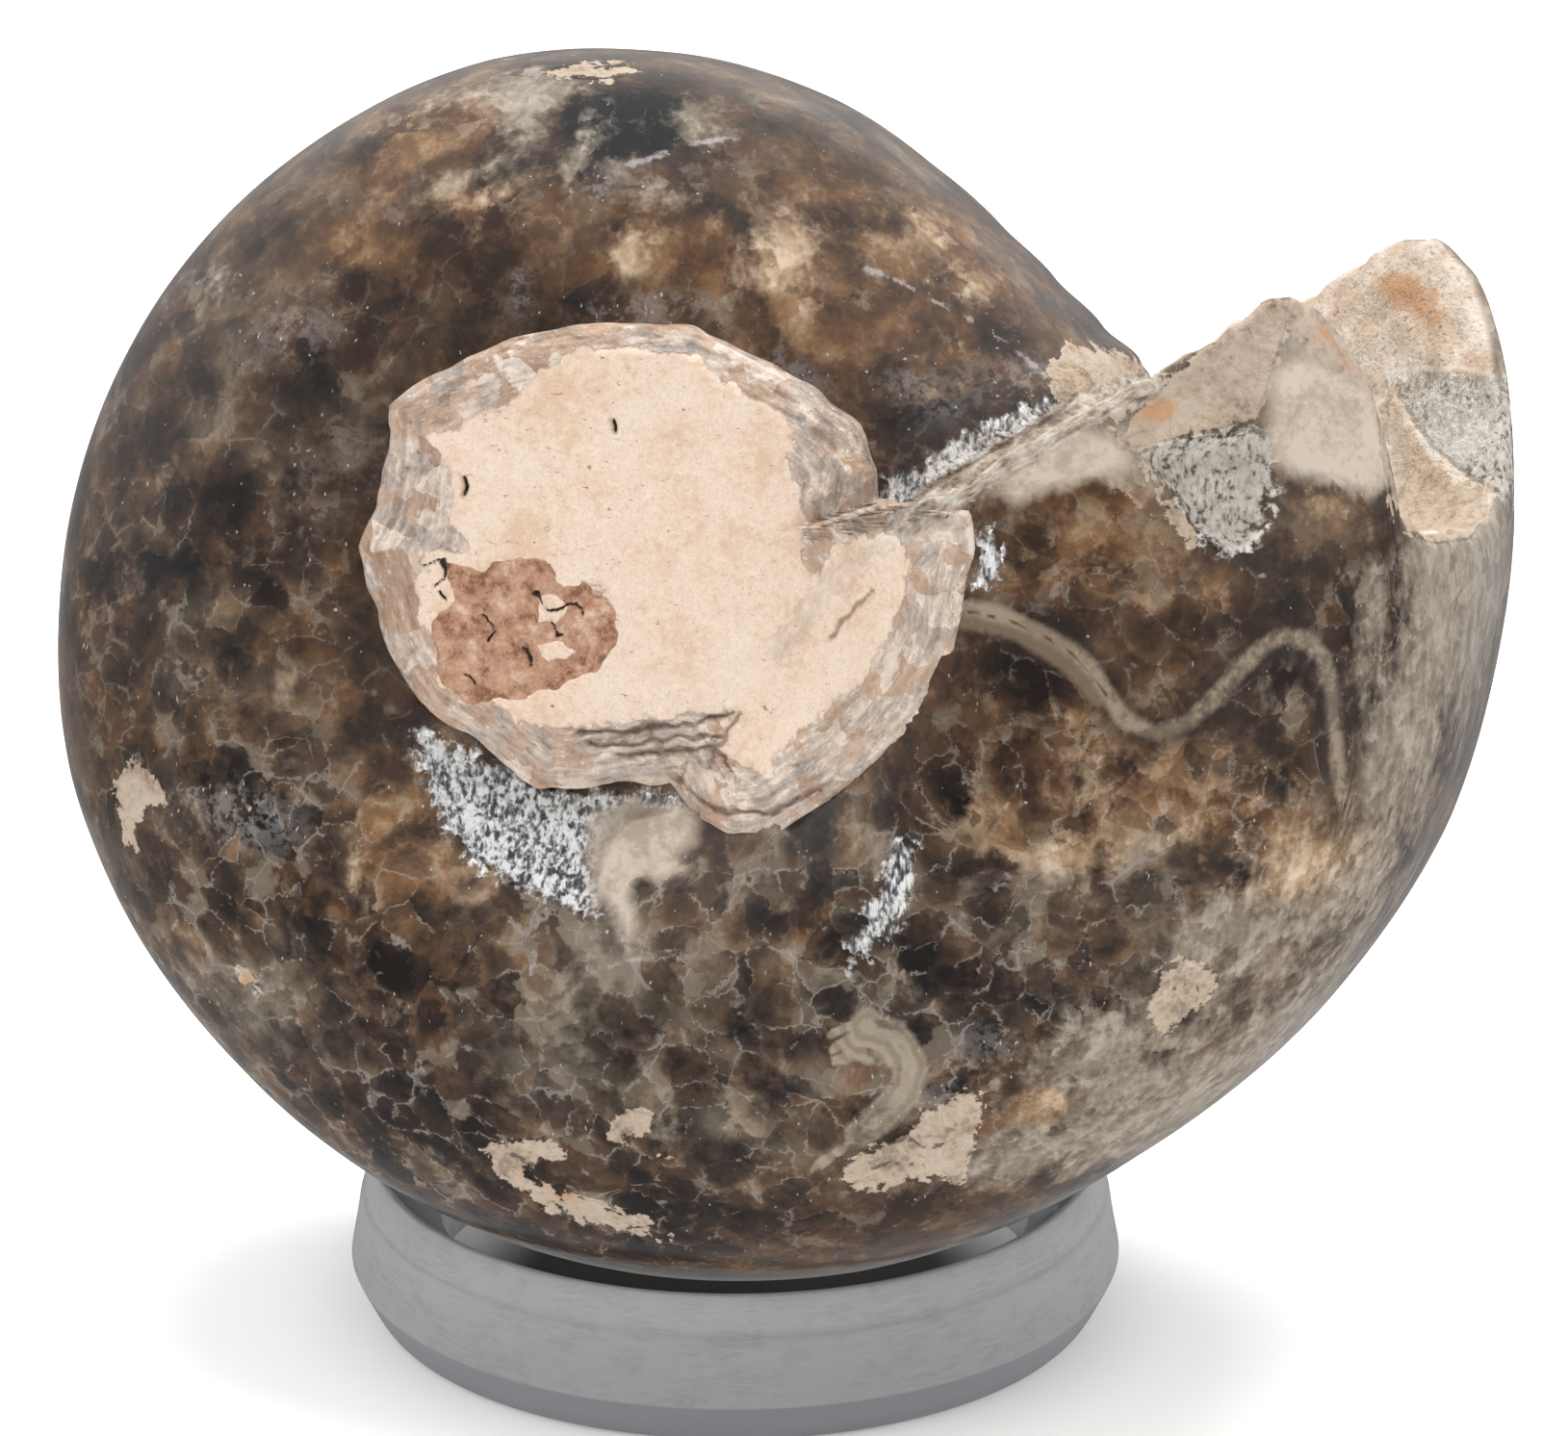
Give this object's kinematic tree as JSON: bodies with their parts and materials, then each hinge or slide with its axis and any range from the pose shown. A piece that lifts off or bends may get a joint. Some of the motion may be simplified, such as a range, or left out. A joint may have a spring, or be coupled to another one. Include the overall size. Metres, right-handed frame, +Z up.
{
  "type": "fossil ammonite on a ring stand",
  "caption": "Polished fossil ammonite with a stone-filled umbilicus and a horned, hollow end face, held upright in a clear acrylic ring stand.",
  "frame": {"origin": "middle of the object's footprint box, on the surface it stands on", "axes": "+Z up; the near side of the coil, with the larger show of stone, faces -Y and a little to -X and up; +X runs from the back of the coil to the horned lip"},
  "size_m": [0.0922, 0.0612, 0.0818],
  "materials": {
    "brown_calcite": "polished stone, brown calcite cells with cream matrix",
    "clear_acrylic": "clear, lightly hazed by handling"
  },
  "bodies": {
    "root": {"ammonite": "brown_calcite", "ring_stand": "clear_acrylic"}
  },
  "joints": []
}
